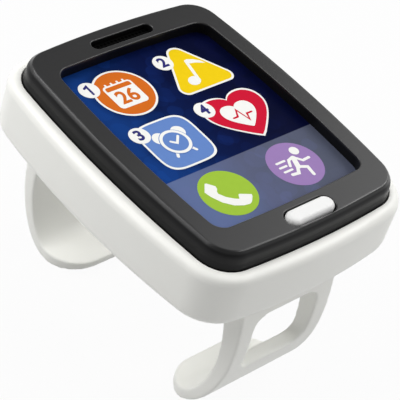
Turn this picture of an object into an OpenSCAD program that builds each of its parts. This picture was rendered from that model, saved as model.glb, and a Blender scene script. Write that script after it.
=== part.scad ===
// Toy watch for a small child: a white case with a dark bezel and a printed screen, on two curved
// arms that clip round the wrist. Millimetres, +Z up, +Y towards 12 o'clock, +X towards 3 o'clock.
// The origin is on the surface the arms stand on, under the middle of the case.

/* [Case] */
// Width of the case, 9 o'clock to 3 o'clock
case_w = 56.6; // [54:0.1:66]
// Length of the case, 6 o'clock to 12 o'clock
case_l = 68.2; // [66:0.1:78]
// Height of the case wall, underside to rim
case_h = 12.2; // [12:0.1:15]
// How far each long side bows outwards between its corners
case_side_bow = 1.8; // [0.6:0.1:3]
// How far each short side bows outwards between its corners
case_end_bow = 1.1; // [0.4:0.1:2]
// Corner radius of the case outline
case_corner_r = 9; // [8:0.1:10]
// Wall and floor thickness of the case
case_wall = 2; // [1.6:0.1:2.2]
// Radius of the rounded rim
rim_r = 1.9; // [0.8:0.1:2.1]
// Radius of the rounded lower edge
base_r = 2.5; // [1:0.1:3]

/* [Bezel] */
// Distance from each side of the case in to the bezel's top edge
rim_side = 4.4; // [4:0.1:4.9]
// Distance from each end of the case in to the bezel's top edge
rim_end = 4.1; // [3.8:0.1:4.4]
// How far the bezel stands above the rim
bezel_rise = 3.8; // [3.2:0.1:4.4]
// Side bow of the bezel outline
bezel_side_bow = 1.1; // [0.5:0.1:1.4]
// End bow of the bezel outline
bezel_end_bow = 0.7; // [0.4:0.1:1]
// Corner radius of the bezel's top edge
bezel_corner_r = 5.4; // [4.8:0.1:6]
// How far the bezel's side spreads beyond its top edge
bezel_spread = 0.85; // [0.6:0.05:0.95]
// Distance from the bezel's top edge out to the rim
rim_in = 1.35; // [1.2:0.05:1.5]

/* [Screen] */
// Width of the bezel's bars beside the window
bar_side = 3.85; // [3.6:0.05:6]
// Width of the bezel's bar at 12 o'clock
bar_top = 6.1; // [5.4:0.1:10]
// Width of the bezel's bar at 6 o'clock
bar_bottom = 6.15; // [6:0.05:10]
// Corner radius of the window
window_corner_r = 3; // [2:0.1:6]
// Depth from the bezel's top down to the screen
screen_depth = 2.45; // [2:0.05:2.7]
// Thickness of the printed screen panel
panel_t = 1; // [0.6:0.1:1.2]

/* [Home button] */
// Length of the button cap
button_l = 11.5; // [8:0.1:12.4]
// Width of the button cap
button_w = 3.6; // [3:0.1:3.8]
// How far the button sits outwards from the middle of its bar
button_shift = 0.6; // [0.3:0.05:0.7]
// How far the cap stands above the bezel
button_proud = 0.7; // [0.2:0.1:1.2]
// Travel of the button
button_travel = 0.8; // [0.4:0.1:0.9]

/* [Cuff] */
// Height of the case's underside above the surface the arms stand on
cuff_h = 34; // [32:0.1:40]
// Width of the case left free on each side of an arm
arm_margin = 15.9; // [15.3:0.1:17.3]
// How far an arm's outer face stands in from the end of the case
arm_inset = 2.7; // [2.3:0.1:3.3]
// How far the 12 o'clock arm's tongue runs in from the arm's lowest line
rear_tongue = 7.3; // [5:0.1:12]
// How far the 6 o'clock arm's tongue runs in, a little shorter than its mate
front_tongue = 3.4; // [3:0.1:8]
// Thickness of an arm half way up
arm_t = 3.55; // [3:0.05:4]
// Width of an arm's legs beside the window through it
arm_leg = 3.9; // [2.6:0.1:6]
// Height of the window through an arm
arm_window_h = 13.9; // [8:0.1:15]

/* [Batteries] */
// Diameter of a button cell
cell_d = 11.6; // [11:0.1:11.6]
// Height of a button cell
cell_h = 5.4; // [5:0.1:5.4]
// Thickness of the battery door
door_t = 1.6; // [1.2:0.1:1.7]

/* [Speaker] */
// Diameter of the speaker
speaker_d = 20; // [16:0.5:20]
// Length of the speaker slot in the bezel
slot_l = 15.2; // [8:0.1:18]
// Width of the speaker slot
slot_w = 2.45; // [1.4:0.05:2.6]
// How far the slot sits inwards from the middle of its bar
slot_shift = 0.55; // [0.2:0.05:0.6]
// Depth of the slot down to its grille
slot_depth = 1.3; // [0.8:0.1:1.6]

/* [Hidden] */
$fn = 48;

// Steps along each side and each corner of an outline
side_n = 10;
corner_n = 8;

// Clearances of pieces that move and of pieces that are seated, and an overrun for cuts
run_gap = 0.3;
seat_gap = 0.2;
touch_gap = 0.1;
thread_gap = 0.02;
cut = 1;

// Levels, from the surface the arms stand on
case_z = cuff_h;
floor_z = case_z + case_wall;
rim_z = case_z + case_h;
top_z = rim_z + bezel_rise;
screen_z = top_z - screen_depth;
panel_z = screen_z - panel_t;
panel_lap = 0.5;
sheet_lap = 0.3;
sheet_t = 0.2;
sheet_z = panel_z - sheet_t;
guide_t = 1.2;
guide_z = sheet_z - guide_t;

// Window: bow of its sides and of its 12 o'clock edge, inset and corner radius of its 6 o'clock end
window_side_bow = 0.8;
window_end_bow = 0.35;
window_foot_in = 0.55;
window_foot_r = 2.6;

// Bezel and window
bezel_w = case_w - 2 * rim_side;
bezel_l = case_l - 2 * rim_end;
window_w = bezel_w - 2 * bar_side;
window_top = bezel_l / 2 - bar_top;
window_bottom = bezel_l / 2 - bar_bottom;

// Outlines: half width, half length, side bow, end bow, corner radius
case_line = [case_w / 2, case_l / 2, case_side_bow, case_end_bow, case_corner_r];
bezel_line = [bezel_w / 2, bezel_l / 2, bezel_side_bow, bezel_end_bow, bezel_corner_r];

// Bezel details: rolled top edge, rounded shoulder, upright side, and a flare down to a foot that
// stands inside the rim. Each flare share is a height above the rim and a part of the way out.
bezel_edge = 0.35;
shoulder_share = 0.41;
flare_shares = [[0.37, 0], [0.28, 0.12], [0.2, 0.35], [0.12, 0.72], [0.06, 1]];
foot_in = rim_in - seat_gap;
foot_sink = 1.4;
foot_z = rim_z - foot_sink;
bezel_wall = 0.9;
shoulder_shares = [[0.85, 0.7], [0.5, 0.4]];
edge_shares = [[-0.3, 0.1], [-1, 0]];
edge_top_share = 0.05;

// Bezel posts and the screws that come up through the case floor into them
screw_r = 1;
screw_l = 8;
screw_head_r = 1.9;
screw_head_t = 1.1;
screw_slot_l = 2.7;
screw_slot_w = 0.5;
head_sink = 0.1;
pilot_r = screw_r + thread_gap;
hole_r = screw_r + seat_gap;
sink_r = screw_head_r + seat_gap;
post_r = 2.5;
post_gap = 1.1;
post_seat = 2;
post_cap = 1;
post_in = case_wall + post_r + post_gap;
post_x = case_w / 2 - case_side_bow - case_corner_r + (case_corner_r - post_in) * cos(45);
post_y = case_l / 2 - case_end_bow - case_corner_r + (case_corner_r - post_in) * sin(45);
corner_places = [[post_x, post_y], [-post_x, post_y], [-post_x, -post_y], [post_x, -post_y]];

// Places along the case: speaker near 12 o'clock, switch near 6 o'clock, battery pocket between
speaker_in = 14.5;
seat_wall = 1.2;
speaker_y = case_l / 2 - speaker_in;
switch_side = 14.3;
switch_end = 13.1;
knob_w = 3.2;
knob_lap = 0.9;
switch_x = case_w / 2 - switch_side;
switch_y = switch_end - case_l / 2;
pocket_y0 = switch_y + knob_w / 2 + knob_lap;
pocket_y1 = speaker_y - speaker_d / 2 - run_gap - seat_wall;
pocket_y = (pocket_y0 + pocket_y1) / 2;

// Main board, resting on the roof of the battery pocket
contact_t = 0.3;
cell_z = case_z + door_t + contact_t + touch_gap;
cell_top = cell_z + cell_h;
roof_z = cell_top + contact_t + touch_gap;
roof_t = 1.4;
board_z = roof_z + roof_t;
board_t = 1;
board_top = board_z + board_t;
board_side = 7.3;
board_end = 3.9;
board_gap = 1.4;
board_w = case_w - 2 * board_side;
board_y0 = board_end - case_l / 2;
board_y1 = speaker_y - speaker_d / 2 - board_gap;
board_corner_r = 5;
board_post_r = 2.2;
board_screw_in = 3;
board_screw_x = board_w / 2 - board_screw_in;
board_screw_y = board_y1 - board_screw_in;
board_screw_l = 4;
chip_w = 8;
chip_t = 0.7;
chip_y = (board_y0 + pocket_y) / 2;
chip_shares = [[0.45, 0.5], [0.3, 0.9]];
capacitor_l = 4;
capacitor_w = 2.6;
led_w = 2.2;
led_t = 0.8;
led_in = 9;
led_x = board_w / 2 - led_in;
lens_share = 0.8;

// Home button: hole, flange under the bezel, stem, rubber dome and the pill inside the dome
button_y = -(bezel_l / 2 + window_bottom) / 2 - button_shift;
hole_gap = 0.35;
flange_out = 0.9;
flange_t = 0.9;
flange_z = screen_z - run_gap - flange_t;
cap_edge = 0.95;
stem_r = 1.5;
pill_r = 1;
pill_t = 0.3;
pill_z = board_top + button_travel + touch_gap / 2;
dome_foot_r = 2.6;
dome_in_r = 1.9;
dome_foot_t = 0.45;
dome_h = 1.75;
dome_web_share = 0.77;
dome_lip_share = 0.6;

// Grille of the speaker slot
slot_y = (bezel_l / 2 + window_top) / 2 - slot_shift;
grille_edge = 0.7;
grille_t = 0.3;

// Battery pocket: three cells side by side, contacts above and on the door
cell_gap = 0.5;
pocket_gap = 0.4;
cell_pitch = cell_d + cell_gap;
pocket_l = 3 * cell_d + 2 * cell_gap + 2 * pocket_gap;
pocket_w = cell_d + 2 * pocket_gap;
pocket_wall = 1.2;
contact_w = 5;
contact_pin_r = 1;
minus_x = cell_pitch + cell_d / 2 + touch_gap;
cell_edge = 1.5;
cell_step = 0.4;

// Battery door: plate with a lip, two captive screws in ears at its ends
door_lip = 1.6;
door_ear = 7;
door_l = pocket_l + 2 * door_ear;
door_w = pocket_w + 2 * door_lip;
door_corner_r = 3;
door_gap = 0.3;
door_screw_x = pocket_l / 2 + door_ear / 2;
door_screw_l = 5;
door_boss_r = 2.4;
door_boss_h = 5.6;
door_boss_cap = 0.5;
grip_n = 5;
grip_w = 0.6;
grip_depth = 0.4;
grip_l = 7;
grip_pitch = 1.6;

// Speaker: steel basket, cone, magnet, seat ring in the case
speaker_h = 4.2;
speaker_z = guide_z - seat_gap - speaker_h;
basket_t = 0.8;
magnet_r = 5.2;
magnet_h = 2;
magnet_out = 0.3;
cone_t = 0.3;
cone_share = 0.6;
seat_ledge = 1.2;
seat_top = speaker_z + speaker_h / 2;
lead_r = 0.4;
lead_x = 1.6;
lead_lap = 1.6;

// Power switch: body under the board, knob through the case floor
switch_l = 8.6;
switch_w = 3.7;
switch_h = 3.4;
switch_travel = 3;
lever_w = 1.5;
lever_share = 0.5;
knob_l = 5;
knob_plate = 1.1;
knob_t = 1.2;
knob_rib = 0.5;
rib_pitch = 1.4;

// Arms: outer and inner curves of the side profile, neck through the floor, foot inside
arm_w = case_w - 2 * arm_margin;
arm_reach = case_l / 2 - arm_inset;
arm_curl_r = 11.4;
arm_mid_z = 20;
arm_bottom_y = arm_reach - arm_curl_r;
arm_window_w = arm_w - 2 * arm_leg;
arm_belly_z = 16.5;
arm_in_r = 28;
arm_tip_r = 26.6;
arm_tip_t = 1.7;
arm_bottom_t = 2.3;
arm_flat = 0.1;
arm_corner_r = 7.5;
arm_window_z = 14.4;
arm_window_r = 3;
neck_inset = 1.8;
neck_t = 4.4;
neck_out = arm_reach - neck_inset;
neck_in = neck_out - neck_t;
neck_mid = (neck_out + neck_in) / 2;
neck_foot_out = 1;
neck_foot_side = 0.6;
neck_foot_gap = 0.55;
neck_foot_t = 1.3;
neck_foot_z = floor_z + neck_foot_gap;
clamp_t = 1.3;
clamp_w = 5.2;
clamp_boss_r = 2;
clamp_z = neck_foot_z + neck_foot_t + neck_foot_gap;
clamp_screw_x = arm_w / 2 + neck_foot_side + run_gap + clamp_boss_r;
clamp_screw_l = 3.4;
seat_end_y = neck_in - neck_foot_out - 2 * run_gap;

// Points on an arc
function arc(c, r, a0, a1, n, skip = 0) =
    [for (i = [skip:n - skip]) let (a = a0 + (a1 - a0) * i / n) [c[0] + r * cos(a), c[1] + r * sin(a)]];

// A rounded rectangle whose sides bow outwards, grown by off
function bowed(l, off) =
    let (
        cx = l[0] - l[2] - l[4],
        cy = l[1] - l[3] - l[4],
        rx = (cy * cy + l[2] * l[2]) / (2 * l[2]),
        ry = (cx * cx + l[3] * l[3]) / (2 * l[3]),
        mx = cx + l[2] - rx,
        my = cy + l[3] - ry,
        ax = asin(cy / rx),
        ay = asin(cx / ry),
        r = l[4] + off
    )
    concat(
        arc([mx, 0], rx + r, -ax, ax, side_n),
        arc([cx, cy], r, ax, 90 - ay, corner_n, 1),
        arc([0, my], ry + r, 90 - ay, 90 + ay, side_n),
        arc([-cx, cy], r, 90 + ay, 180 - ax, corner_n, 1),
        arc([-mx, 0], rx + r, 180 - ax, 180 + ax, side_n),
        arc([-cx, -cy], r, 180 + ax, 270 - ay, corner_n, 1),
        arc([0, -my], ry + r, 270 - ay, 270 + ay, side_n),
        arc([cx, -cy], r, 270 + ay, 360 - ax, corner_n, 1)
    );

// A solid through rings of points, one ring for each [offset, height] of an outline
module loft(l, steps) {
    rings = [for (s = steps) [for (p = bowed(l, s[0])) [p[0], p[1], s[1]]]];
    n = len(rings[0]);
    k = len(rings);
    polyhedron(
        points = [for (r = rings) each r],
        faces = concat(
            [[for (i = [0:n - 1]) i]],
            [for (j = [0:k - 2]) for (i = [0:n - 1]) each [
                [j * n + i, (j + 1) * n + i, j * n + (i + 1) % n],
                [(j + 1) * n + i, (j + 1) * n + (i + 1) % n, j * n + (i + 1) % n]
            ]],
            [[for (i = [0:n - 1]) k * n - 1 - i]]
        )
    );
}

module slab(l, off, z, h) {
    translate([0, 0, z])
        linear_extrude(height = h)
            polygon(bowed(l, off));
}

// A rectangle w by l with round corners, made of arcs
module round_rect(w, l, r) {
    polygon(concat(
        arc([w / 2 - r, l / 2 - r], r, 0, 90, corner_n),
        arc([r - w / 2, l / 2 - r], r, 90, 180, corner_n),
        arc([r - w / 2, r - l / 2], r, 180, 270, corner_n),
        arc([w / 2 - r, r - l / 2], r, 270, 360, corner_n)
    ));
}

// A capsule l long and w wide, standing on z
module capsule(l, w, z, h) {
    translate([0, 0, z])
        linear_extrude(height = h)
            union() {
                square([l - w, w], center = true);
                for (s = [-1, 1])
                    translate([s * (l - w) / 2, 0])
                        circle(d = w);
            }
}

module rod(p, r, z, h) {
    translate([p[0], p[1], z])
        cylinder(r = r, h = h);
}

// A pan head screw with its head down at z and its shank l long above the head
module screw(p, z, l) {
    translate([p[0], p[1], z])
        difference() {
            union() {
                cylinder(r = screw_head_r, h = screw_head_t);
                cylinder(r = screw_r, h = screw_head_t + l);
            }
            for (a = [0, 90])
                rotate([0, 0, a])
                    cube([screw_slot_l, screw_slot_w, screw_head_t], center = true);
        }
}

// The same screw with its head up: the head stands on z and the shank reaches l below it
module screw_down(p, z, l) {
    translate([0, 0, 2 * z])
        mirror([0, 0, 1])
            screw(p, z - screw_head_t, l);
}

// Half of a cap's cross-section, h high and w wide, with a rounded top edge
function cap_half(w, h, r) =
    concat([[0, 0], [w / 2, 0]], arc([w / 2 - r, h - r], r, 0, 90, corner_n), [[0, h]]);

// A capsule-shaped cap l long and w wide, standing on z, with a rounded top edge
module long_cap(l, w, z, h, r) {
    half = cap_half(w, h, r);
    translate([0, 0, z]) {
        translate([-(l - w) / 2, 0, 0])
            rotate([90, 0, 90])
                linear_extrude(height = l - w)
                    polygon(concat(
                        half,
                        [for (i = [len(half) - 2:-1:1]) [-half[i][0], half[i][1]]]
                    ));
        for (s = [0, 1])
            mirror([s, 0, 0])
                translate([(l - w) / 2, 0, 0])
                    rotate([0, 0, -90])
                        rotate_extrude(angle = 180)
                            polygon(half);
    }
}

// The window outline: bowed sides and top, straight edge towards 6 o'clock
module window_2d(grow) {
    l = [window_w / 2, window_top, window_side_bow, window_end_bow, window_corner_r];
    b = window_bottom + grow;
    r = window_foot_r + grow;
    intersection() {
        polygon(bowed(l, grow));
        union() {
            translate([-window_w, -b + r])
                square([2 * window_w, 2 * window_top + 2 * r]);
            translate([0, -b + window_top])
                round_rect(window_w - 2 * window_foot_in + 2 * grow, 2 * window_top, r);
        }
    }
}

module case() {
    color("ivory")
        difference() {
            union() {
                difference() {
                    loft(case_line, concat(
                        [for (a = [0:22.5:90]) [base_r * (sin(a) - 1), case_z + base_r * (1 - cos(a))]],
                        [for (a = [0:22.5:90]) [rim_r * (cos(a) - 1), rim_z - rim_r * (1 - sin(a))]]
                    ));
                    slab(case_line, -case_wall, floor_z, foot_z - seat_gap - floor_z);
                    slab(bezel_line, rim_in, floor_z + cut, case_h);
                }
                case_fittings();
            }
            case_cuts();
        }
}

// Everything that stands on the case floor
module case_fittings() {
    sink = case_wall / 2;
    for (p = corner_places)
        rod(p, post_r, floor_z - sink, post_seat + sink);
    translate([0, pocket_y, floor_z - sink])
        linear_extrude(height = board_z - floor_z + sink)
            round_rect(pocket_l + 2 * pocket_wall, pocket_w + 2 * pocket_wall, pocket_wall);
    for (s = [-1, 1]) {
        rod([s * door_screw_x, pocket_y], door_boss_r, floor_z - sink, door_boss_h - case_wall + sink);
        rod([s * board_screw_x, board_screw_y], board_post_r, floor_z - sink, board_z - floor_z + sink);
        for (e = [-1, 1])
            rod([s * clamp_screw_x, e * neck_mid], clamp_boss_r, floor_z - sink, clamp_z - floor_z + sink);
    }
    difference() {
        translate([0, speaker_y, floor_z - sink])
            difference() {
                cylinder(r = speaker_d / 2 + run_gap + seat_wall, h = seat_top - floor_z + sink);
                translate([0, 0, speaker_z - floor_z + sink])
                    cylinder(r = speaker_d / 2 + run_gap, h = speaker_h);
                translate([0, 0, sink])
                    cylinder(r = speaker_d / 2 - seat_ledge, h = case_h);
            }
        translate([-case_w / 2, seat_end_y, floor_z - sink - cut])
            cube([case_w, case_l, case_h]);
    }
}

// Holes through the case floor
module case_cuts() {
    for (p = corner_places) {
        rod(p, hole_r, case_z - cut, case_h);
        rod(p, sink_r, case_z - cut, cut + head_sink + screw_head_t);
    }
    translate([0, pocket_y, case_z - cut])
        linear_extrude(height = cut + roof_z - case_z)
            round_rect(pocket_l, pocket_w, pocket_wall);
    translate([0, pocket_y, case_z - cut])
        linear_extrude(height = cut + door_t)
            round_rect(door_l + 2 * door_gap, door_w + 2 * door_gap, door_corner_r + door_gap);
    for (s = [-1, 1]) {
        rod([s * door_screw_x, pocket_y], pilot_r, case_z, door_boss_h - door_boss_cap);
        rod([s * board_screw_x, board_screw_y], pilot_r, board_z - board_screw_l, case_h);
        for (e = [-1, 1])
            rod([s * clamp_screw_x, e * neck_mid], pilot_r, floor_z - case_wall / 2, case_h);
    }
    for (e = [-1, 1])
        translate([0, e * neck_mid, case_z])
            cube([arm_w + 2 * run_gap, neck_t + 2 * run_gap, 4 * case_wall], center = true);
    translate([switch_x, switch_y, case_z - cut])
        linear_extrude(height = case_h)
            square([knob_l + switch_travel + 2 * run_gap, knob_w + 2 * run_gap], center = true);
    rod([-cell_pitch, pocket_y], contact_pin_r + seat_gap, roof_z - cut, cut + 2 * roof_t);
    translate([minus_x - touch_gap, pocket_y - contact_w / 2 - seat_gap, roof_z - cut])
        cube([contact_t + 2 * touch_gap, contact_w + 2 * seat_gap, cut + 2 * roof_t]);
}

module bezel() {
    shoulder = shoulder_share * bezel_rise;
    color([0.24, 0.24, 0.25])
        difference() {
            loft(bezel_line, [
                [foot_in, foot_z],
                for (i = [len(flare_shares) - 1:-1:0]) let (s = flare_shares[i])
                    [bezel_spread + s[1] * (foot_in - bezel_spread), rim_z + s[0] * bezel_rise],
                [bezel_spread, top_z - shoulder],
                for (s = shoulder_shares) [s[0] * bezel_spread, top_z - s[1] * shoulder],
                [edge_top_share * bezel_spread, top_z - bezel_edge / 2],
                for (s = edge_shares) [s[0] * bezel_edge, top_z - s[1] * bezel_edge]
            ]);
            slab(bezel_line, bezel_spread - bezel_wall, foot_z - cut, screen_z - foot_z + cut);
            translate([0, 0, screen_z - cut])
                linear_extrude(height = screen_depth + 2 * cut)
                    window_2d(0);
            translate([0, slot_y, 0])
                capsule(slot_l, slot_w, screen_z - cut, screen_depth + 2 * cut);
            translate([0, button_y, 0])
                capsule(button_l + 2 * hole_gap, button_w + 2 * hole_gap, screen_z - cut,
                    screen_depth + 2 * cut);
        }
    color([0.24, 0.24, 0.25])
        for (p = corner_places)
            difference() {
                rod(p, post_r, floor_z + post_seat, screen_z - floor_z - post_seat);
                rod(p, pilot_r, floor_z + post_seat - cut, cut + screen_z - floor_z - post_seat - post_cap);
            }
}

module screen_panel() {
    color([0.10, 0.19, 0.48])
        translate([0, 0, panel_z])
            linear_extrude(height = panel_t)
                window_2d(panel_lap);
}

module touch_sheet() {
    color([0.8, 0.6, 0.3])
        translate([0, 0, sheet_z])
            linear_extrude(height = sheet_t)
                window_2d(sheet_lap);
}

module light_guide() {
    color([0.85, 0.9, 0.95, 0.7])
        difference() {
            translate([0, 0, guide_z])
                linear_extrude(height = guide_t)
                    window_2d(panel_lap);
            for (p = corner_places)
                rod(p, post_r + run_gap, guide_z - cut, guide_t + 2 * cut);
            for (s = [-1, 1])
                rod([s * board_screw_x, board_screw_y], sink_r, guide_z - cut, guide_t + 2 * cut);
        }
}

module slot_grille() {
    color([0.05, 0.05, 0.05])
        translate([0, slot_y, 0])
            union() {
                capsule(slot_l + 2 * grille_edge, slot_w + grille_edge, screen_z - grille_t, grille_t);
                capsule(slot_l - touch_gap, slot_w - touch_gap, screen_z - grille_t,
                    screen_depth - slot_depth + grille_t);
            }
}

module home_button() {
    cap_z = flange_z + flange_t;
    color("white")
        translate([0, button_y, 0])
            union() {
                capsule(button_l + 2 * hole_gap + 2 * flange_out, button_w, flange_z, flange_t);
                long_cap(button_l, button_w, cap_z, top_z + button_proud - cap_z, cap_edge);
                rod([0, 0], stem_r, board_top + dome_h, flange_z - board_top - dome_h);
            }
}

module contact_pill() {
    color([0.1, 0.1, 0.1])
        rod([0, button_y], pill_r, pill_z, pill_t);
}

// A rubber dome: foot on the board, thin sloping web, column under the stem
module button_dome() {
    ceiling = pill_z + pill_t - board_top;
    color([0.75, 0.75, 0.72])
        translate([0, button_y, board_top])
            rotate_extrude()
                polygon([
                    [dome_in_r, 0],
                    [dome_foot_r, 0],
                    [dome_foot_r, dome_foot_t],
                    [(dome_foot_r + dome_in_r) / 2, dome_foot_t],
                    [stem_r, dome_web_share * dome_h],
                    [stem_r, dome_h],
                    [0, dome_h],
                    [0, ceiling],
                    [pill_r + touch_gap, ceiling],
                    [dome_in_r, dome_lip_share * dome_foot_t]
                ]);
}

module main_board() {
    color([0.1, 0.42, 0.25])
        difference() {
            translate([0, (board_y0 + board_y1) / 2, board_z])
                linear_extrude(height = board_t)
                    round_rect(board_w, board_y1 - board_y0, board_corner_r);
            for (p = corner_places)
                rod(p, post_r + run_gap, board_z - cut, board_t + 2 * cut);
            for (s = [-1, 1])
                rod([s * board_screw_x, board_screw_y], hole_r, board_z - cut, board_t + 2 * cut);
        }
}

// A chip under a blob of black resin
module sound_chip() {
    color([0.08, 0.08, 0.08])
        translate([-led_x, chip_y, board_top])
            rotate_extrude()
                polygon([
                    [0, 0],
                    [chip_w / 2, 0],
                    for (s = chip_shares) [s[0] * chip_w, s[1] * chip_t],
                    [0, chip_t]
                ]);
}

module capacitor() {
    color([0.75, 0.62, 0.35])
        translate([led_x, chip_y, board_top])
            cube([capacitor_l, capacitor_w, chip_t]);
}

module led_at(x) {
    color([1, 1, 0.85])
        translate([x, 0, board_top])
            union() {
                translate([-led_w / 2, -led_w / 2, 0])
                    cube([led_w, led_w, led_t / 2]);
                cylinder(d = lens_share * led_w, h = led_t);
            }
}

module led_left() {
    led_at(-led_x);
}

module led_right() {
    led_at(led_x);
}

module board_screws() {
    color("silver")
        for (s = [-1, 1])
            screw_down([s * board_screw_x, board_screw_y], board_top, board_t + board_screw_l - run_gap);
}

module speaker_frame() {
    color([0.72, 0.73, 0.75])
        translate([0, speaker_y, speaker_z])
            difference() {
                cylinder(r = speaker_d / 2, h = speaker_h);
                translate([0, 0, basket_t])
                    cylinder(r = speaker_d / 2 - basket_t, h = speaker_h);
                translate([0, 0, -cut])
                    cylinder(r = magnet_r + touch_gap, h = 2 * cut);
            }
}

module speaker_cone() {
    rim_r_in = speaker_d / 2 - basket_t;
    rim_z_in = speaker_h - basket_t - cone_t;
    color([0.15, 0.15, 0.16])
        translate([0, speaker_y, speaker_z + basket_t])
            rotate_extrude()
                polygon([
                    [0, magnet_h],
                    [cone_share * magnet_r, magnet_h - cone_t],
                    [rim_r_in, rim_z_in - cone_t],
                    [rim_r_in, rim_z_in],
                    [cone_share * magnet_r, magnet_h],
                    [0, magnet_h + cone_t]
                ]);
}

module speaker_magnet() {
    color([0.35, 0.35, 0.37])
        rod([0, speaker_y], magnet_r, speaker_z - magnet_out, magnet_h);
}

// Two leads from the speaker's rim to pads on the board
module speaker_leads() {
    y0 = speaker_y - speaker_d / 2;
    color([0.75, 0.12, 0.1])
        for (s = [-1, 1])
            translate([s * lead_x, board_y1 - lead_lap, board_top + lead_r])
                rotate([-90, 0, 0])
                    cylinder(r = lead_r, h = y0 - board_y1 + lead_lap);
}

module power_switch() {
    color([0.7, 0.7, 0.72])
        difference() {
            translate([switch_x - switch_l / 2, switch_y - switch_w / 2, board_z - switch_h])
                cube([switch_l, switch_w, switch_h]);
            translate([switch_x, switch_y, board_z - switch_h])
                cube([lever_w + switch_travel + 2 * run_gap, lever_w + 2 * run_gap, switch_h], center = true);
        }
}

// The knob rests at the off end of its slot
module switch_knob() {
    lever_h = board_z - lever_share * switch_h - run_gap - floor_z;
    plate_l = knob_l + 2 * switch_travel + 2 * run_gap + knob_lap;
    color([0.15, 0.15, 0.16])
        translate([switch_x - switch_travel / 2, switch_y, floor_z])
            union() {
                translate([-knob_l / 2, -knob_w / 2, -knob_t])
                    cube([knob_l, knob_w, knob_t + run_gap]);
                for (i = [-1, 0, 1])
                    translate([i * rib_pitch - knob_rib / 2, -knob_w / 2, -knob_t - knob_rib])
                        cube([knob_rib, knob_w, knob_rib]);
                translate([-plate_l / 2, -knob_w / 2 - knob_lap, run_gap])
                    cube([plate_l, knob_w + 2 * knob_lap, knob_plate]);
                translate([-lever_w / 2, -lever_w / 2, run_gap])
                    cube([lever_w, lever_w, lever_h - run_gap]);
            }
}

// A button cell, positive face up when face is 1
module cell_at(x, face) {
    color([0.8, 0.81, 0.82])
        translate([x, pocket_y, face > 0 ? cell_z : cell_top])
            mirror([0, 0, face > 0 ? 0 : 1])
                union() {
                    cylinder(r = cell_d / 2 - cell_edge, h = 2 * cell_step);
                    translate([0, 0, cell_step])
                        cylinder(r = cell_d / 2, h = cell_h - cell_step);
                }
}

module cell_left() {
    cell_at(-cell_pitch, 1);
}

module cell_middle() {
    cell_at(0, -1);
}

module cell_right() {
    cell_at(cell_pitch, 1);
}

module contact_plus() {
    color("gold")
        union() {
            translate([-cell_pitch - contact_w / 2, pocket_y - contact_w / 2, cell_top])
                cube([contact_w, contact_w, contact_t]);
            rod([-cell_pitch, pocket_y], contact_pin_r, cell_top, board_z - cell_top);
        }
}

// A strip under the last cell, up beside it and through the roof to the board
module contact_minus() {
    color("gold")
        union() {
            translate([cell_pitch, pocket_y - contact_w / 2, cell_z - contact_t])
                cube([minus_x + contact_t - cell_pitch, contact_w, contact_t]);
            translate([minus_x, pocket_y - contact_w / 2, cell_z - contact_t])
                cube([contact_t, contact_w, board_z - cell_z + contact_t]);
        }
}

module contact_link_top() {
    color("gold")
        translate([-contact_w / 2, pocket_y - contact_w / 2, cell_top])
            cube([cell_pitch + contact_w, contact_w, contact_t]);
}

module contact_link_door() {
    color("gold")
        translate([-cell_pitch - contact_w / 2, pocket_y - contact_w / 2, case_z + door_t])
            cube([cell_pitch + contact_w, contact_w, contact_t]);
}

module battery_door() {
    color("ivory")
        difference() {
            translate([0, pocket_y, case_z])
                linear_extrude(height = door_t)
                    round_rect(door_l, door_w, door_corner_r);
            for (s = [-1, 1]) {
                rod([s * door_screw_x, pocket_y], hole_r, case_z - cut, door_t + 2 * cut);
                rod([s * door_screw_x, pocket_y], sink_r, case_z - cut, cut + head_sink + screw_head_t);
            }
            for (i = [0:grip_n - 1])
                translate([(i - (grip_n - 1) / 2) * grip_pitch, pocket_y, case_z])
                    cube([grip_w, grip_l, 2 * grip_depth], center = true);
        }
}

module door_screws() {
    color("silver")
        for (s = [-1, 1])
            screw([s * door_screw_x, pocket_y], case_z + head_sink, door_screw_l - screw_head_t - head_sink);
}

module case_screws() {
    color("silver")
        for (p = corner_places)
            screw(p, case_z + head_sink, screw_l);
}

// Side profile of an arm that runs down at +Y and curls in by curl to its tip
function arm_profile(curl) =
    let (
        n = 24,
        k = 8,
        in_a = arm_curl_r - arm_t,
        tip = arm_bottom_y - curl,
        tip_rise = curl * curl / (2 * arm_tip_r) - arm_flat,
        in_h = sqrt(2 * arm_in_r * (arm_reach - arm_t - neck_in))
    )
    concat(
        [[neck_out, neck_foot_z]],
        [for (i = [0:k]) let (u = 1 - i / k)
            [arm_reach - (arm_reach - neck_out) * u * u, arm_mid_z + (case_z - arm_mid_z) * u]],
        [for (i = [1:n]) let (a = -90 * i / n)
            [arm_bottom_y + arm_curl_r * cos(a), arm_mid_z + (arm_mid_z + arm_flat) * sin(a)]],
        [for (i = [1:k]) let (y = curl * i / k) [arm_bottom_y - y, y * y / (2 * arm_tip_r) - arm_flat]],
        [[tip, tip_rise + arm_tip_t]],
        [for (i = [0:n]) let (a = -90 + 90 * i / n)
            [arm_bottom_y + in_a * cos(a), arm_belly_z + (arm_belly_z - arm_bottom_t) * sin(a)]],
        [for (i = [1:k]) let (h = in_h * i / k)
            [arm_reach - arm_t - h * h / (2 * arm_in_r), arm_belly_z + h]],
        [[neck_in, neck_foot_z]]
    );

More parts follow.
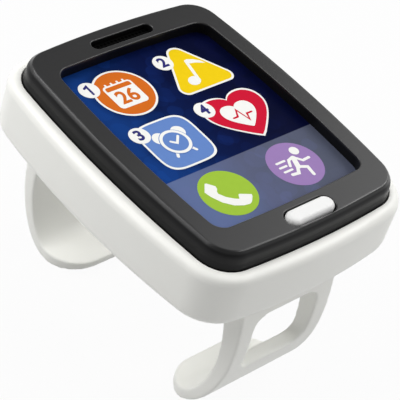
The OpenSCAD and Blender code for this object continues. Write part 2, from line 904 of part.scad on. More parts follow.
// An arm towards 12 o'clock: curved band, window, rounded tongue and a foot inside the case
module arm(curl) {
    difference() {
        intersection() {
            translate([-arm_w / 2, 0, 0])
                rotate([90, 0, 90])
                    linear_extrude(height = arm_w)
                        polygon(arm_profile(curl));
            translate([0, arm_bottom_y - curl + case_l / 2, 0])
                linear_extrude(height = top_z)
                    round_rect(arm_w, case_l, arm_corner_r);
        }
        translate([0, case_l, arm_window_z + arm_window_h / 2])
            rotate([90, 0, 0])
                linear_extrude(height = case_l)
                    round_rect(arm_window_w, arm_window_h, arm_window_r);
    }
    translate([-arm_w / 2 - neck_foot_side, neck_in - neck_foot_out, neck_foot_z])
        cube([arm_w + 2 * neck_foot_side, neck_t + 2 * neck_foot_out, neck_foot_t]);
}

module front_arm() {
    color("ivory")
        mirror([0, 1, 0])
            arm(front_tongue);
}

module rear_arm() {
    color("ivory")
        arm(rear_tongue);
}

// A bar over an arm's foot, screwed down at both ends
module clamp_at(e) {
    color([0.85, 0.85, 0.82])
        difference() {
            translate([0, e * neck_mid, clamp_z + clamp_t / 2])
                cube([2 * (clamp_screw_x + clamp_boss_r), clamp_w, clamp_t], center = true);
            for (s = [-1, 1])
                rod([s * clamp_screw_x, e * neck_mid], hole_r, clamp_z - cut, clamp_t + 2 * cut);
        }
}

module front_arm_clamp() {
    clamp_at(-1);
}

module rear_arm_clamp() {
    clamp_at(1);
}

module clamp_screws() {
    color("silver")
        for (s = [-1, 1], e = [-1, 1])
            screw_down([s * clamp_screw_x, e * neck_mid], clamp_z + clamp_t, clamp_t + clamp_screw_l);
}

case();
bezel();
screen_panel();
touch_sheet();
light_guide();
slot_grille();
home_button();
contact_pill();
button_dome();
main_board();
sound_chip();
capacitor();
led_left();
led_right();
board_screws();
speaker_frame();
speaker_cone();
speaker_magnet();
speaker_leads();
power_switch();
switch_knob();
cell_left();
cell_middle();
cell_right();
contact_plus();
contact_minus();
contact_link_top();
contact_link_door();
battery_door();
door_screws();
case_screws();
front_arm();
rear_arm();
front_arm_clamp();
rear_arm_clamp();
clamp_screws();
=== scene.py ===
import math

import bmesh
import bpy
from mathutils import Matrix, Vector


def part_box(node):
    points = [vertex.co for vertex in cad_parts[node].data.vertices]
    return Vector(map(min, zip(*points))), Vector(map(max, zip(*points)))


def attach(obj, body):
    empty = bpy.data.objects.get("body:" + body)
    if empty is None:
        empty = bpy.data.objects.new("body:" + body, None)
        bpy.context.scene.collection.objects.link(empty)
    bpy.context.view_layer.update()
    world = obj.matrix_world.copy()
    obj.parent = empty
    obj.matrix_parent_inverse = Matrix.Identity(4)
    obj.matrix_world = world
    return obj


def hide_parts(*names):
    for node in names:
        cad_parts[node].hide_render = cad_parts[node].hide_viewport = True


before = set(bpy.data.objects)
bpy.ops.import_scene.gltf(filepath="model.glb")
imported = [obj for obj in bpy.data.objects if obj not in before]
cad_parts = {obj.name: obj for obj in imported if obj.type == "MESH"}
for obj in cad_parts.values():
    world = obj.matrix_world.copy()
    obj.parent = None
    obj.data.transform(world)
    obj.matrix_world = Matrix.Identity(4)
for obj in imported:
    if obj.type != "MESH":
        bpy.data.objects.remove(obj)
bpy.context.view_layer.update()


# Case: one white moulding, a tray with a rounded rim, satin outside.
# Its underside carries the battery pocket, the arms' slots and the screw holes, and its four
# screws come up from below into the bezel's posts.

mm = 0.001


def paint(red, green, blue):
    """A colour given as it looks on a screen, 0 to 255, turned into the shader's linear values."""
    def linear(level):
        level /= 255
        return level / 12.92 if level <= 0.04045 else ((level + 0.055) / 1.055) ** 2.4
    return (linear(red), linear(green), linear(blue), 1)


class Wire:
    """A value in a finish, which takes part in sums as a number does."""

    def __init__(self, finish, socket):
        self.finish = finish
        self.socket = socket

    def __add__(self, other):
        return self.finish.sum("ADD", self, other)

    def __sub__(self, other):
        return self.finish.sum("SUBTRACT", self, other)

    def __rsub__(self, other):
        return self.finish.sum("SUBTRACT", other, self)

    def __mul__(self, other):
        return self.finish.sum("MULTIPLY", self, other)

    def __truediv__(self, other):
        return self.finish.sum("DIVIDE", self, other)

    def __gt__(self, other):
        return self.finish.sum("GREATER_THAN", self, other)

    def __lt__(self, other):
        return self.finish.sum("LESS_THAN", self, other)

    __radd__ = __add__
    __rmul__ = __mul__


class Finish:
    """A surface finish: a material, its shader, and one method that adds any other node."""

    def __init__(self, name, colour, roughness, **plain):
        self.material = bpy.data.materials.new(name)
        self.material.use_nodes = True
        self.tree = self.material.node_tree
        self.shader = self.tree.nodes["Principled BSDF"]
        self.place = self.node("TexCoord", {}, {}, "Object")
        self.put("Base Color", colour)
        self.put("Roughness", roughness)
        for words, value in plain.items():
            self.put(words.replace("_", " "), value)

    def node(self, kind, settings, sockets, out=0):
        made = self.tree.nodes.new("ShaderNode" + kind)
        for name, value in settings.items():
            if name == "stops":
                ramp = made.color_ramp.elements
                while len(ramp) < len(value):
                    ramp.new(1)
                for stop, (place, colour) in zip(ramp, value):
                    stop.position = place
                    stop.color = colour
            else:
                setattr(made, name, value)
        for name, value in sockets.items():
            self.join(made.inputs[name], value)
        return Wire(self, made.outputs[out])

    def join(self, socket, value):
        if isinstance(value, Wire):
            self.tree.links.new(value.socket, socket)
        else:
            socket.default_value = value

    def put(self, name, value):
        self.join(self.shader.inputs[name], value)

    def sum(self, operation, one, two):
        return self.node("Math", {"operation": operation}, {0: one, 1: two})

    def blend(self, share, one, two):
        """Colour one where share is 0 and colour two where it is 1."""
        return self.node("Mix", {"data_type": "RGBA"}, {0: share, 6: one, 7: two}, 2)

    def grain(self, size, detail=2.0, stretch=(1, 1, 1)):
        """Soft random mottling, 0 to 1, whose spots are about size across."""
        moved = self.node("Mapping", {}, {"Vector": self.place, "Scale": stretch})
        return self.node("TexNoise", {}, {"Vector": moved, "Scale": 1 / size, "Detail": detail})

    def between(self, value, low, high, to_low=0.0, to_high=1.0):
        """value from low to high, spread smoothly over to_low to to_high."""
        return self.node("MapRange", {"interpolation_type": "SMOOTHSTEP"},
                         {0: value, 1: low, 2: high, 3: to_low, 4: to_high})

    def relief(self, height, depth, strength=1.0):
        """Fine relief, depth deep where height goes from 0 to 1."""
        self.put("Normal", self.node("Bump", {}, {
            "Height": height, "Distance": depth, "Strength": strength}))


def dimmed(colour, share):
    """A colour with that share of its light."""
    return tuple(level * share for level in colour[:3]) + (1,)


def moulded(name, colour, roughness, grain_size, grain_depth, mottle=0.03, **plain):
    """A moulded plastic: slightly uneven in colour and gloss, with a fine skin texture."""
    finish = Finish(name, colour, roughness, **plain)
    cloud = finish.grain(9 * mm)
    skin = finish.grain(grain_size, 3.0)
    finish.put("Base Color", finish.blend(cloud, dimmed(colour, 1 - mottle), colour))
    finish.put("Roughness", roughness * 0.85 + cloud * (roughness * 0.2) + skin * (roughness * 0.1))
    finish.relief(skin, grain_depth)
    return finish


def nothing_selected():
    for thing in list(bpy.context.selected_objects):
        thing.select_set(False)


def pick(piece):
    """Selects one piece and nothing else."""
    nothing_selected()
    piece.select_set(True)
    bpy.context.view_layer.objects.active = piece


def changed(piece, kind, **settings):
    """Applies one modifier to a piece."""
    pick(piece)
    bpy.ops.object.modifier_add(type=kind)
    for name, value in settings.items():
        setattr(piece.modifiers[-1], name, value)
    bpy.ops.object.modifier_apply(modifier=piece.modifiers[-1].name)


def fix(piece, finish, body, slot, *nodes):
    """Gives a finished piece its material, the body that it moves with and the CAD nodes it shows."""
    piece.data.materials.clear()
    piece.data.materials.append(finish.material)
    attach(piece, body)
    if nodes:
        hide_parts(*nodes)


same_point = 0.002 * mm
flat_angle = math.radians(0.6)
sharp_angle = math.radians(40)
smooth_angle = math.radians(35)


def eased_copy(node, name, edge_r=0, steps=2, over=-math.inf, under=math.inf):
    """A CAD piece's shape with its loose triangles joined.

    Its sharp edges that lie over one height and under the other are rounded to edge_r.
    """
    piece = bpy.data.objects.new(name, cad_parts[node].data.copy())
    piece.data.name = name
    bpy.context.collection.objects.link(piece)
    pick(piece)
    bpy.ops.object.mode_set(mode="EDIT")
    bpy.ops.mesh.select_all(action="SELECT")
    bpy.ops.mesh.remove_doubles(threshold=same_point)
    bpy.ops.mesh.dissolve_limited(angle_limit=flat_angle)
    if edge_r:
        bpy.ops.mesh.select_mode(type="EDGE")
        bpy.ops.mesh.select_all(action="DESELECT")
        shape = bmesh.from_edit_mesh(piece.data)
        for edge in shape.edges:
            if len(edge.link_faces) == 2 and edge.calc_face_angle() > sharp_angle:
                edge.select = over < ((edge.verts[0].co + edge.verts[1].co) / 2).z < under
        shape.select_flush_mode()
        bmesh.update_edit_mesh(piece.data)
        bpy.ops.mesh.bevel(offset=edge_r, segments=steps, affect="EDGES", clamp_overlap=False)
    bpy.ops.object.mode_set(mode="OBJECT")
    bpy.ops.object.shade_smooth_by_angle(angle=smooth_angle)
    changed(piece, "WEIGHTED_NORMAL", keep_sharp=True)
    return piece


case_low, case_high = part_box("case")
white_plastic = moulded("white_case_plastic", paint(250, 250, 245), 0.38, 0.5 * mm, 0.004 * mm,
                        mottle=0.015, Specular_IOR_Level=0.5)
case = eased_copy("case", "case_shell", 0.2 * mm, over=case_high.z - 0.1 * mm)
fix(case, white_plastic, "watch_case", "case_white", "case")


# Cuff arms: two curved white bands of the same plastic, each with a window through its root and a
# rounded tongue at its tip. Their long edges are rounded, and their feet, which stay crisp, sit in
# slots of the case.

skin_grid = 0.25 * mm
skin_passes = 14
skin_fade = 0.3 * mm


def softened(piece, top):
    """Rounds every edge of a piece up to top: its skin is laid again in even squares, then eased."""
    changed(piece, "REMESH", mode="VOXEL", voxel_size=skin_grid)
    eased = piece.vertex_groups.new(name="eased")
    for vertex in piece.data.vertices:
        eased.add([vertex.index], min(1, max(0, (top - vertex.co.z) / skin_fade)), "REPLACE")
    changed(piece, "SMOOTH", factor=0.5, iterations=skin_passes, vertex_group="eased")
    piece.vertex_groups.clear()
    bpy.ops.object.shade_smooth()


for node, name, body in (("rear_arm", "rear_cuff_arm", "arm_rear"),
                         ("front_arm", "front_cuff_arm", "arm_front")):
    arm = eased_copy(node, name)
    softened(arm, case_low.z)
    fix(arm, white_plastic, body, "arm_white", node)


# Clamp bars and screws: each arm's foot is held under a bar, and all screws are zinc-plated steel
# with a crossed slot.

def metal(name, colour, roughness, along, depth=0.003 * mm):
    """A bare metal with drawn or turned marks along one direction."""
    finish = Finish(name, colour, roughness, Metallic=1.0)
    marks = finish.grain(0.9 * mm, 4.0, along)
    stain = finish.grain(3 * mm)
    finish.put("Base Color", finish.blend(stain, dimmed(colour, 0.8), colour))
    finish.put("Roughness", roughness + marks * 0.18)
    finish.relief(marks, depth)
    return finish


def dress(finish, *nodes):
    """A CAD piece whose shape is right gets its finish."""
    for node in nodes:
        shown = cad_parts[node].data.materials
        shown.clear()
        shown.append(finish.material)


screw_steel = metal("zinc_plated_steel", (0.62, 0.62, 0.64, 1), 0.28, (1, 8, 1))
clamp_plastic = moulded("clamp_plastic", (0.72, 0.72, 0.69, 1), 0.5, 0.4 * mm, 0.01 * mm)
dress(clamp_plastic, "front_arm_clamp", "rear_arm_clamp")
dress(screw_steel, "clamp_screws", "board_screws")
for node, name, body in (("case_screws", "case_screw_set", "watch_case"),
                         ("door_screws", "door_screw_set", "door")):
    screws = eased_copy(node, name, 0.08 * mm, under=case_low.z + 0.4 * mm)
    fix(screws, screw_steel, body, "screw_steel", node)


# Power switch: a pressed steel can on the board, and a black ribbed knob that slides in the case
# floor.

switch_steel = metal("pressed_steel", (0.56, 0.57, 0.59, 1), 0.32, (6, 1, 1))
knob_plastic = moulded("knob_black_plastic", (0.02, 0.02, 0.021, 1), 0.45, 0.3 * mm, 0.01 * mm, 0.2)
dress(switch_steel, "power_switch")
knob = eased_copy("switch_knob", "power_knob", 0.12 * mm, under=case_low.z + 1.5 * mm)
fix(knob, knob_plastic, "knob", "knob_black", "switch_knob")


# Batteries: three button cells in the pocket, brass contact strips above them, beside the last one
# and on the door, and a white door with a ribbed grip.

cell_steel = metal("cell_steel", (0.7, 0.7, 0.71, 1), 0.2, (1, 1, 12))
brass = metal("contact_brass", (0.78, 0.6, 0.28, 1), 0.25, (10, 1, 1))
dress(cell_steel, "cell_left", "cell_middle", "cell_right")
dress(brass, "contact_plus", "contact_minus", "contact_link_top", "contact_link_door")
door = eased_copy("battery_door", "battery_cover", 0.15 * mm, under=case_low.z + 0.05 * mm)
fix(door, white_plastic, "door", "case_white", "battery_door")


# Main board: green board on the roof of the pocket, with a chip under black resin, a capacitor, and
# two small lamps that light the screen from behind.

board_finish = Finish("board_green", (0.02, 0.12, 0.05, 1), 0.35)
tracks = board_finish.node("TexBrick", {"offset": 0.37}, {
    "Vector": board_finish.place, "Scale": 420.0, "Mortar Size": 0.03, "Mortar Smooth": 0.1,
    "Color1": (0.016, 0.1, 0.045, 1), "Color2": (0.02, 0.13, 0.055, 1),
    "Mortar": (0.07, 0.3, 0.12, 1)})
board_finish.put("Base Color", tracks)
board_finish.relief(board_finish.grain(0.8 * mm), 0.01 * mm)
resin = moulded("black_resin", (0.012, 0.012, 0.013, 1), 0.2, 1.5 * mm, 0.03 * mm, 0.3)
tan_ceramic = moulded("capacitor_ceramic", (0.42, 0.28, 0.12, 1), 0.5, 0.2 * mm, 0.01 * mm, 0.2)
lamp_resin = moulded("lamp_resin", (0.85, 0.83, 0.6, 1), 0.15, 0.5 * mm, 0.004 * mm, 0.1,
                     Coat_Weight=0.5)
dress(board_finish, "main_board")
dress(resin, "sound_chip")
dress(tan_ceramic, "capacitor")
dress(lamp_resin, "led_left", "led_right")


# Speaker: pressed steel basket, black film cone with rings, dark magnet, and two red leads.

cone_film = Finish("cone_film", (0.02, 0.02, 0.022, 1), 0.4)
speaker_low, speaker_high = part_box("speaker_cone")
speaker_middle = (speaker_low + speaker_high) / 2
across = cone_film.node("VectorMath", {"operation": "DISTANCE"}, {
    0: cone_film.node("VectorMath", {"operation": "MULTIPLY"}, {0: cone_film.place, 1: (1, 1, 0)}),
    1: (speaker_middle.x, speaker_middle.y, 0)}, "Value")
ring_pitch = 0.9 * mm
rings = cone_film.sum("SINE", across * (math.tau / ring_pitch), 0)
cone_film.relief(rings, 0.03 * mm)
# The cone is painted darker in the hollows between its rings and lighter on their crests: painted
# shade that follows the rings' relief.
cone_film.put("Base Color", cone_film.blend(
    cone_film.between(rings, -1, 1), (0.014, 0.014, 0.016, 1), (0.03, 0.03, 0.032, 1)))
magnet_plate = metal("magnet_plating", (0.2, 0.2, 0.21, 1), 0.4, (1, 1, 1))
lead_red = moulded("lead_red_sleeve", (0.42, 0.03, 0.02, 1), 0.45, 0.2 * mm, 0.006 * mm, 0.1)
dress(switch_steel, "speaker_frame")
dress(cone_film, "speaker_cone")
dress(magnet_plate, "speaker_magnet")
dress(lead_red, "speaker_leads")


# Bezel: a dark grey satin moulding that frames the screen, with a rolled top edge, an upright side
# and a foot inside the rim of the case. Its face is glossier than its side, and a black grille lies
# under its speaker slot.

dark_plastic = moulded("bezel_dark_plastic", paint(17, 17, 18), 0.33, 0.22 * mm, 0.006 * mm, 0.1,
                       Specular_IOR_Level=0.2, Coat_Roughness=0.33)
bezel_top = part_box("bezel")[1].z
face_gloss = 0.7
face_height = dark_plastic.node("SeparateXYZ", {}, {0: dark_plastic.place}, "Z")
dark_plastic.put("Coat Weight", dark_plastic.between(
    face_height, bezel_top - 0.75 * mm, bezel_top - 0.35 * mm, 0.0, face_gloss))
bezel = eased_copy("bezel", "bezel_frame", 0.22 * mm, 3, over=bezel_top - 0.02 * mm)
fix(bezel, dark_plastic, "watch_case", "bezel_dark", "bezel")

grille_plastic = Finish("grille_black_plastic", (0.003, 0.003, 0.003, 1), 0.8,
                        Specular_IOR_Level=0.0)
hole_pitch = 0.9 * mm
pores = grille_plastic.node("TexVoronoi", {}, {
    "Vector": grille_plastic.place, "Scale": 1 / hole_pitch, "Randomness": 0.0}, "Distance")
# The holes are only a relief, and the plastic is painted darker inside them: painted shade in the
# holes.
shaded_holes = grille_plastic.between(pores, 0.3, 0.36)
grille_plastic.put("Base Color", grille_plastic.blend(
    shaded_holes, (0.0005, 0.0005, 0.0005, 1), (0.004, 0.004, 0.004, 1)))
grille_plastic.relief(shaded_holes, 0.15 * mm)
dress(grille_plastic, "slot_grille")


# Screen: a clear panel printed from behind with a dark blue night pattern of soft round lights and
# a grey-blue dock, over a touch sheet and a light guide.

screen_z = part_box("screen_panel")[1].z
print_gloss = 0.02
print_light = 0.81
dock_y = -8.17 * mm
dock_edge = 0.08 * mm
icon_places = {"calendar": (-8.29, 14.92), "music": (9.0, 14.4),
               "clock": (-8.29, -0.25), "heart": (9.05, 0.2)}


def printed(red, green, blue):
    """A printed colour as it looks under the lamps, which light the screen more than fully."""
    return dimmed(paint(red, green, blue), print_light)


night = Finish("night_print", (0.01, 0.03, 0.15, 1), 0.4, Specular_IOR_Level=print_gloss)
place_x = night.node("SeparateXYZ", {}, {0: night.place}, "X")
place_y = night.node("SeparateXYZ", {}, {0: night.place}, "Y")
flat_place = night.node("VectorMath", {"operation": "MULTIPLY"}, {0: night.place, 1: (1, 1, 0)})
sweep = night.between(place_x + (night.grain(11 * mm) - 0.5) * (9 * mm), -19 * mm, 17 * mm)
sky = night.node("ValToRGB", {"stops": [
    (0.0, printed(18, 56, 122)), (0.4, printed(7, 26, 74)),
    (0.65, printed(6, 18, 62)), (1.0, printed(6, 11, 44))]}, {0: sweep})


def soft_lights(size, shift, reach):
    """Round spots of light, each of its own strength."""
    moved = night.node("VectorMath", {"operation": "ADD"}, {0: flat_place, 1: (shift, shift, 0)})
    spots = {"Vector": moved, "Scale": 1 / size, "Randomness": 0.8}
    edge = night.node("TexVoronoi", {"voronoi_dimensions": "2D"}, spots, "Distance")
    pick = night.node("TexVoronoi", {"voronoi_dimensions": "2D"}, spots, "Color")
    level = night.node("SeparateColor", {}, {0: pick})
    return night.between(edge, reach, reach - 0.05) * night.between(level, 0.15, 1.0)


lights = soft_lights(4.6 * mm, 0.0, 0.5) * 0.5 + soft_lights(3.7 * mm, 31 * mm, 0.47) * 0.5
bright = night.node("ValToRGB", {"stops": [
    (0.0, printed(22, 70, 150)), (0.5, printed(16, 42, 108)), (1.0, printed(8, 14, 58))]}, {0: sweep})
sky = night.blend(lights * 0.7, sky, bright)
for x, y in icon_places.values():
    away = night.node("VectorMath", {"operation": "DISTANCE"},
                      {0: flat_place, 1: (x * mm, y * mm, 0)}, "Value")
    sky = night.blend(night.between(away, 8.4 * mm, 6.2 * mm) * 0.4, sky, printed(3, 8, 40))
dock = night.node("ValToRGB", {"stops": [
    (0.0, printed(96, 112, 155)), (0.5, printed(91, 97, 124)),
    (1.0, printed(87, 92, 110))]}, {0: sweep})
dock = night.blend(lights * 0.35, dock, printed(104, 112, 160))
in_dock = night.between(place_y, dock_y + dock_edge, dock_y - dock_edge)
night.put("Base Color", night.blend(in_dock, sky, dock))
night.put("Roughness", 0.36 + night.grain(0.5 * mm) * 0.08)
panel = eased_copy("screen_panel", "printed_screen")
fix(panel, night, "watch_case", "screen_print", "screen_panel")

touch_film = Finish("touch_film", (0.55, 0.4, 0.16, 1), 0.35)
grid = touch_film.node("TexBrick", {"offset": 0.0}, {
    "Vector": touch_film.place, "Scale": 90.0, "Mortar Size": 0.06,
    "Color1": (0.6, 0.45, 0.2, 1), "Color2": (0.55, 0.4, 0.16, 1), "Mortar": (0.2, 0.14, 0.06, 1)})
touch_film.put("Base Color", grid)
guide_clear = Finish("clear_guide", (0.9, 0.93, 0.95, 1), 0.2, Transmission_Weight=0.8, IOR=1.49)
guide_clear.relief(guide_clear.grain(0.6 * mm), 0.01 * mm)
dress(touch_film, "touch_sheet")
dress(guide_clear, "light_guide")


# Icons: thin layers of ink on the screen. Each icon has a white rim, a coloured field and a white
# sign, and the four play icons each carry a white bubble with a number. Outlines are in millimetres.

ink_t = 0.02 * mm
icon_r = 6.46
field_r = icon_r - 0.45


def arc(centre, radius, start, end, steps):
    """Points along an arc, from one angle to another in degrees."""
    return [(centre[0] + radius * math.cos(math.radians(start + (end - start) * i / steps)),
             centre[1] + radius * math.sin(math.radians(start + (end - start) * i / steps)))
            for i in range(steps + 1)]


disc_steps = 144


def disc(centre, radius):
    """A round outline."""
    return arc(centre, radius, 0, 360 * (disc_steps - 1) / disc_steps, disc_steps - 1)


def rounded(corners, radius, steps=8):
    """A closed outline through those corners, each rounded to its radius."""
    radii = radius if isinstance(radius, (list, tuple)) else [radius] * len(corners)
    points = []
    for i, corner in enumerate(corners):
        here = Vector(corner)
        back = (Vector(corners[i - 1]) - here).normalized()
        on = (Vector(corners[(i + 1) % len(corners)]) - here).normalized()
        half = back.angle(on) / 2
        reach = radii[i] / math.tan(half)
        centre = here + (back + on).normalized() * (radii[i] / math.sin(half))
        first = here + back * reach - centre
        turn = (here + on * reach - centre).angle_signed(first)
        for k in range(steps + 1):
            points.append(tuple(centre + Matrix.Rotation(turn * k / steps, 2) @ first))
    return points


def strip(points, width, steps=8):
    """A band of that width along a line, with round ends."""
    line = [Vector(p) for p in points]
    half = width / 2
    sides = []
    for i, here in enumerate(line):
        before = (here - line[max(i - 1, 0)]).normalized() if i else None
        after = (line[i + 1] - here).normalized() if i + 1 < len(line) else None
        along = ((before or after) + (after or before)).normalized()
        across = Vector((-along.y, along.x))
        stretch = half / max(0.5, across.dot(Vector((-(after or before).y, (after or before).x))))
        sides.append((here, along, across * stretch))
    outline = [tuple(here - off) for here, along, off in sides]
    here, along, off = sides[-1]
    outline += [tuple(here - off * math.cos(a) + along * half * math.sin(a))
                for a in (math.pi * k / steps for k in range(1, steps))]
    outline += [tuple(here + off) for here, along, off in reversed(sides)]
    here, along, off = sides[0]
    outline += [tuple(here + off * math.cos(a) - along * half * math.sin(a))
                for a in (math.pi * k / steps for k in range(1, steps))]
    return outline


def layer(name, outlines, level):
    """Flat ink with those outlines, its top at that layer."""
    parts = []
    for outline in outlines:
        nothing_selected()
        bpy.ops.mesh.primitive_circle_add(vertices=len(outline), radius=mm, fill_type="NGON")
        part = bpy.context.object
        for vertex, (x, y) in zip(part.data.vertices, outline):
            vertex.co = (x * mm, y * mm, screen_z)
        bpy.ops.object.mode_set(mode="EDIT")
        bpy.ops.mesh.select_all(action="SELECT")
        bpy.ops.mesh.extrude_region_move(TRANSFORM_OT_translate={"value": (0, 0, level * ink_t)})
        bpy.ops.mesh.select_all(action="SELECT")
        bpy.ops.mesh.normals_make_consistent(inside=False)
        bpy.ops.object.mode_set(mode="OBJECT")
        parts.append(part)
    return joined(name, parts)


def joined(name, parts):
    """One piece of ink from overlapping parts."""
    first = parts[0]
    for part in parts[1:]:
        changed(first, "BOOLEAN", operation="UNION", object=part)
        bpy.data.objects.remove(part)
    first.name = name
    first.data.name = name
    return first


figure_level = 4
figure_bold = 0.12 * mm


def figures(name, words, centre, size):
    """Numbers in ink, upright on the screen. The one is drawn as two strokes, with no foot."""
    x, y = centre
    if words == "1":
        one = strip([(x - 0.62, y + 0.72), (x + 0.12, y + 1.12), (x + 0.12, y - 1.22)], 0.5)
        return layer(name, [one], figure_level)
    nothing_selected()
    bpy.ops.object.text_add(location=(x * mm, y * mm, screen_z + (figure_level - 0.5) * ink_t))
    text = bpy.context.object
    text.data.body = words
    text.data.size = size * mm
    text.data.align_x = "CENTER"
    text.data.align_y = "CENTER"
    text.data.offset = figure_bold
    text.data.extrude = 0.5 * ink_t
    text.data.resolution_u = 6
    bpy.ops.object.convert(target="MESH")
    bpy.ops.object.transform_apply(location=True, rotation=True, scale=True)
    return joined(name, [bpy.context.object])


def ink(name, red, green, blue):
    """A printing ink: even colour with a faint mottle."""
    colour = printed(red, green, blue)
    finish = Finish(name, colour, 0.38, Specular_IOR_Level=print_gloss)
    cloud = finish.grain(1.2 * mm)
    finish.put("Base Color", finish.blend(cloud, dimmed(colour, 0.94), colour))
    finish.put("Roughness", 0.35 + cloud * 0.06)
    return finish


def stamp(made, colour):
    """Fixes a layer of ink to the screen."""
    fix(made, colour, "watch_case", "screen_print")


white_ink = ink("white_ink", 250, 250, 246)
navy_ink = ink("navy_ink", 52, 52, 120)
bubble_r = 2.15


def numbered(name, number, centre):
    """A white bubble with its number."""
    stamp(layer(name + "_bubble", [disc(centre, bubble_r)], 3), white_ink)
    stamp(figures(name + "_number", number, centre, 3.6), navy_ink)


# Calendar icon: an orange disc, and a white calendar leaf with an orange head band, four rings and a
# date. It is printed in layers, each over the last.

orange_ink = ink("orange_ink", 217, 110, 34)
calendar = icon_places["calendar"]
stamp(layer("calendar_rim", [disc(calendar, icon_r)], 1), white_ink)
stamp(layer("calendar_field", [disc(calendar, field_r)], 2), orange_ink)
leaf = [(-11.83, 11.33), (-4.83, 11.33), (-4.83, 17.85), (-11.83, 17.85)]
rings = [rounded([(x - 0.3, 17.6), (x + 0.3, 17.6), (x + 0.18, 18.4), (x - 0.18, 18.4)], 0.12, 4)
         for x in (-10.55, -9.1, -7.65, -6.25)]
stamp(layer("calendar_leaf", [rounded(leaf, 0.9)] + rings, 3), white_ink)
band = rounded([(-11.35, 16.35), (-5.3, 16.35), (-5.3, 17.45), (-11.35, 17.45)],
               [0.05, 0.05, 0.5, 0.5])
stamp(layer("calendar_band", [band], 4), orange_ink)
stamp(figures("calendar_date", "26", (-8.3, 13.85), 4.75), orange_ink)
numbered("calendar", "1", (-14.29, 18.42))


# Music icon: a yellow triangle with round corners and a white rim, under a white note. The note is
# a slanted head, a stem and a flag in one ink.

yellow_ink = ink("yellow_ink", 246, 210, 22)
rim_outline = rounded([(9.05, 24.0), (1.0, 8.83), (17.15, 8.83)], [2.2, 1.75, 1.75], 12)
field_outline = rounded([(9.05, 23.05), (1.73, 9.28), (16.4, 9.28)], [1.8, 1.35, 1.35], 12)
stamp(layer("music_rim", [rim_outline], 1), white_ink)
stamp(layer("music_field", [field_outline], 2), yellow_ink)
head_along, head_aside = 0.97, 0.24
head = [(7.05 + 1.5 * math.cos(a) * head_along - 1.2 * math.sin(a) * head_aside,
         11.8 + 1.5 * math.cos(a) * head_aside + 1.2 * math.sin(a) * head_along)
        for a in (math.tau * k / 40 for k in range(40))]
flag = [(9.0, 16.9), (9.25, 17.35), (9.85, 17.5), (11.1, 16.95), (12.2, 16.1), (12.85, 15.05),
        (12.0, 15.4), (10.9, 15.95), (9.7, 16.2)]
stamp(layer("music_note", [head, strip([(8.15, 11.9), (9.35, 17.05)], 0.7), flag], 3), white_ink)
numbered("music", "2", (4.63, 18.58))


# Clock icon: a light blue square with bowed sides, and a white alarm clock. Its bells and feet lie
# under a blue gap, and its ring, face and hands lie over it.

blue_ink = ink("blue_ink", 104, 139, 204)


def cushion_square(centre, half, power=4.2, steps=96):
    """A square outline with bowed sides and full corners."""
    return [(centre[0] + half * math.copysign(abs(math.cos(a)) ** (2 / power), math.cos(a)),
             centre[1] + half * math.copysign(abs(math.sin(a)) ** (2 / power), math.sin(a)))
            for a in (math.tau * k / steps for k in range(steps))]


square = icon_places["clock"]
stamp(layer("clock_rim", [cushion_square(square, icon_r)], 1), white_ink)
stamp(layer("clock_field", [cushion_square(square, field_r)], 2), blue_ink)
dial = (-8.38, -0.17)
feet = [strip([(dial[0] + side * 1.75, dial[1] - 2.4), (dial[0] + side * 2.3, dial[1] - 3.4)], 0.6)
        for side in (-1, 1)]
bells = [disc((dial[0] + side * 2.32, dial[1] + 2.0), 1.5) for side in (-1, 1)]
stamp(layer("clock_bells", bells + feet, 3), white_ink)
stamp(layer("clock_gap", [disc(dial, 3.28)], 4), blue_ink)
stamp(layer("clock_ring", [disc(dial, 3.15)], 5), white_ink)
stamp(layer("clock_face", [disc(dial, 2.5)], 6), blue_ink)
stamp(layer("clock_hands", [strip([(-9.35, 0.2), (-8.4, -0.65), (-7.0, 0.85)], 0.52)], 7), white_ink)
numbered("clock", "3", (-13.71, 4.13))


# Heart icon: a red heart with a white rim, a white heart inside it and a red pulse line across that.
# It is printed like the others.

red_ink = ink("red_ink", 211, 26, 56)


def curve(*stretches, steps=14):
    """Points along Bezier stretches, each given by its four control points."""
    points = []
    for p0, p1, p2, p3 in stretches:
        for k in range(steps):
            t = k / steps
            weights = ((1 - t) ** 3, 3 * t * (1 - t) ** 2, 3 * t * t * (1 - t), t ** 3)
            controls = list(zip(weights, (p0, p1, p2, p3)))
            points.append(tuple(sum(weight * point[i] for weight, point in controls) for i in (0, 1)))
    return points


def heart(middle, top, width, height):
    """A plump heart: its lobes reach up to top, and it is width across and height high."""
    half = curve(((0, -0.121), (0.113, -0.033), (0.298, 0), (0.497, 0)),
                 ((0.497, 0), (0.802, 0), (1, -0.125), (1, -0.294)),
                 ((1, -0.294), (1, -0.532), (0.55, -0.739), (0.05, -0.99)))
    outline = half + [(0, -1)] + [(-x, y) for x, y in reversed(half[1:])]
    return [(middle + x * width / 2, top + y * height) for x, y in reversed(outline)]


stamp(layer("heart_rim", [heart(9.05, 6.33, 15.1, 13.0)], 1), white_ink)
stamp(layer("heart_field", [heart(9.05, 5.88, 14.2, 12.0)], 2), red_ink)
stamp(layer("heart_inner", [heart(9.03, 3.29, 7.95, 6.9)], 3), white_ink)
pulse = [(6.7, -0.17), (7.75, -0.17), (8.75, 1.55), (9.5, -1.8), (10.15, -0.17), (11.4, -0.17)]
stamp(layer("heart_pulse", [strip(pulse, 0.42)], 4), red_ink)
numbered("heart", "4", (2.88, 4.21))


# Dock signs: a green disc with a white handset and a purple disc with a white runner, printed over
# the dock without a rim.

